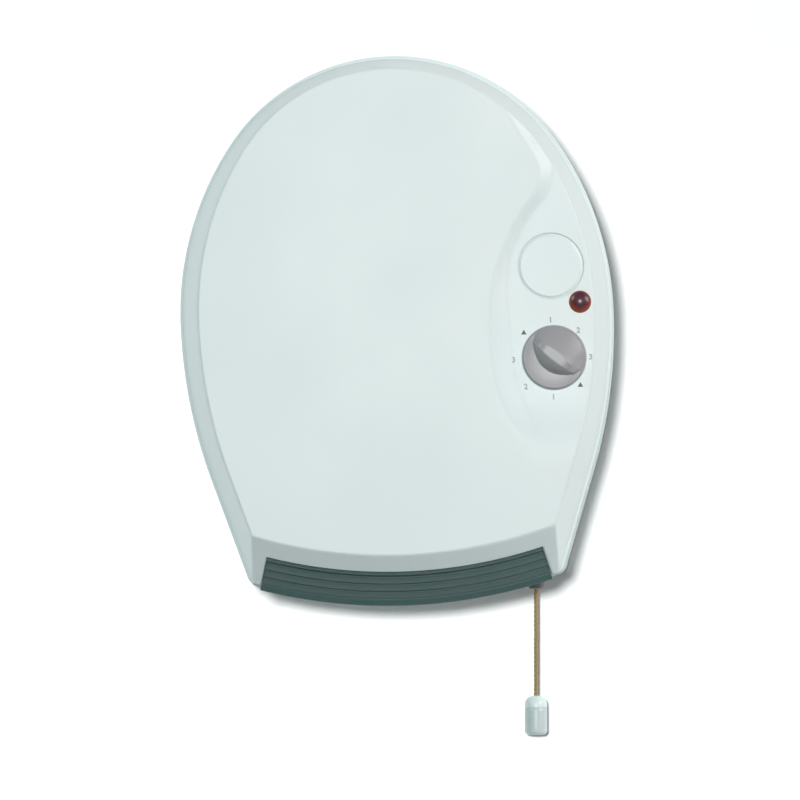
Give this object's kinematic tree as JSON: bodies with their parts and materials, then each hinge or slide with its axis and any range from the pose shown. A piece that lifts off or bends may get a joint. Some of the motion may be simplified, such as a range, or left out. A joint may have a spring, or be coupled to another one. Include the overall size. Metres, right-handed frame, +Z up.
{
  "type": "bathroom wall fan heater",
  "caption": "Horseshoe-shaped wall fan heater with a slanted bottom outlet grille, rotary control, blanking cap, neon lamp and hanging pull cord.",
  "frame": {"origin": "centre of the four wall-screw holes on the plane of the wall, on the heater's widest line", "axes": "+X to the right as seen from the room, +Y into the wall, +Z up; the front face looks along -Y"},
  "size_m": [0.2364, 0.1268, 0.3756],
  "materials": {
    "housing_plastic": "fine satin moulded ABS",
    "cover_plastic": "satin moulded ABS, pale mint white",
    "grille_plastic": "matt heat-resistant moulding, dark grey-green",
    "knob_plastic": "satin grey moulding",
    "white_plastic": "natural nylon",
    "dark_plastic": "phenolic moulding",
    "lamp_lens": "clear red polycarbonate",
    "cord": "twisted polyester cord, golden tan",
    "zinc_steel": "zinc plated",
    "galvanised_sheet": "galvanised sheet",
    "lamination_steel": "oiled lamination stack",
    "fan_aluminium": "mill finish",
    "sintered_bronze": "oil-filled sintered bronze",
    "brass": "plain brass",
    "coil_tape": "amber polyester tape over the winding",
    "black_rubber": "moulded rubber",
    "mica": "pressed mica sheet",
    "heating_wire": "oxidised resistance ribbon",
    "fuse_sleeve": "enamelled metal case",
    "brown_insulation": "silicone lead insulation",
    "blue_insulation": "silicone lead insulation",
    "white_insulation": "glass-braided lead"
  },
  "bodies": {
    "root": {"back_housing": "housing_plastic", "front_cover": "cover_plastic", "outlet_grille": "grille_plastic", "blanking_cap": "cover_plastic", "lamp_lens": "lamp_lens", "lamp_body": "white_plastic", "lamp_clip": "zinc_steel", "switch_body": "dark_plastic", "switch_tabs": "brass", "switch_screws": "zinc_steel", "pull_switch_body": "white_plastic", "pull_switch_tabs": "brass", "pull_switch_screws": "zinc_steel", "plunger_spring": "zinc_steel", "cord_bush": "white_plastic", "fan_scroll": "galvanised_sheet", "fan_tongue": "galvanised_sheet", "left_end_plate": "galvanised_sheet", "right_end_plate": "galvanised_sheet", "motor_stator": "lamination_steel", "motor_coil": "coil_tape", "coil_bobbin": "white_plastic", "inner_bracket": "galvanised_sheet", "outer_bracket": "galvanised_sheet", "motor_bearings": "sintered_bronze", "motor_spacers": "zinc_steel", "motor_bolts": "zinc_steel", "bearing_mount": "black_rubber", "bearing_bush": "sintered_bronze", "heater_frame": "mica", "heater_wires": "heating_wire", "thermal_cutout": "zinc_steel", "thermal_fuse": "fuse_sleeve", "terminal_block": "white_plastic", "terminal_screws": "brass", "cable_grommet": "black_rubber", "cover_screws": "zinc_steel", "fan_screws": "zinc_steel", "supply_leads": "brown_insulation", "heater_leads": "white_insulation", "motor_leads": "blue_insulation", "pull_leads": "brown_insulation", "lamp_leads": "blue_insulation"},
    "knob": {"control_knob": "knob_plastic", "switch_spindle": "zinc_steel"},
    "fan": {"fan_wheel": "fan_aluminium", "fan_shaft": "zinc_steel", "motor_rotor": "lamination_steel"},
    "plunger": {"pull_plunger": "white_plastic", "cord_tail": "cord"},
    "cord": {"pull_cord": "cord", "pull_toggle": "cover_plastic"}
  },
  "joints": [
    {"name": "knob_turn", "type": "hinge", "parent": "root", "child": "knob", "pos_m": [0.084, -0.115, -0.0265], "axis": [0, 1, 0], "continuous": true},
    {"name": "fan_spin", "type": "hinge", "parent": "root", "child": "fan", "pos_m": [0, -0.06, -0.078], "axis": [1, 0, 0], "continuous": true},
    {"name": "cord_pull", "type": "slide", "parent": "root", "child": "plunger", "axis": [0, 0, -1], "range_m": [0, 0.008], "stiffness_N_per_m": 300, "springref_m": -0.002, "deforming": ["plunger_spring"]},
    {"name": "cord_swing", "type": "hinge", "parent": "plunger", "child": "cord", "pos_m": [0.07, -0.012, -0.1504], "axis": [0, 1, 0], "range_deg": [-12, 12]}
  ]
}
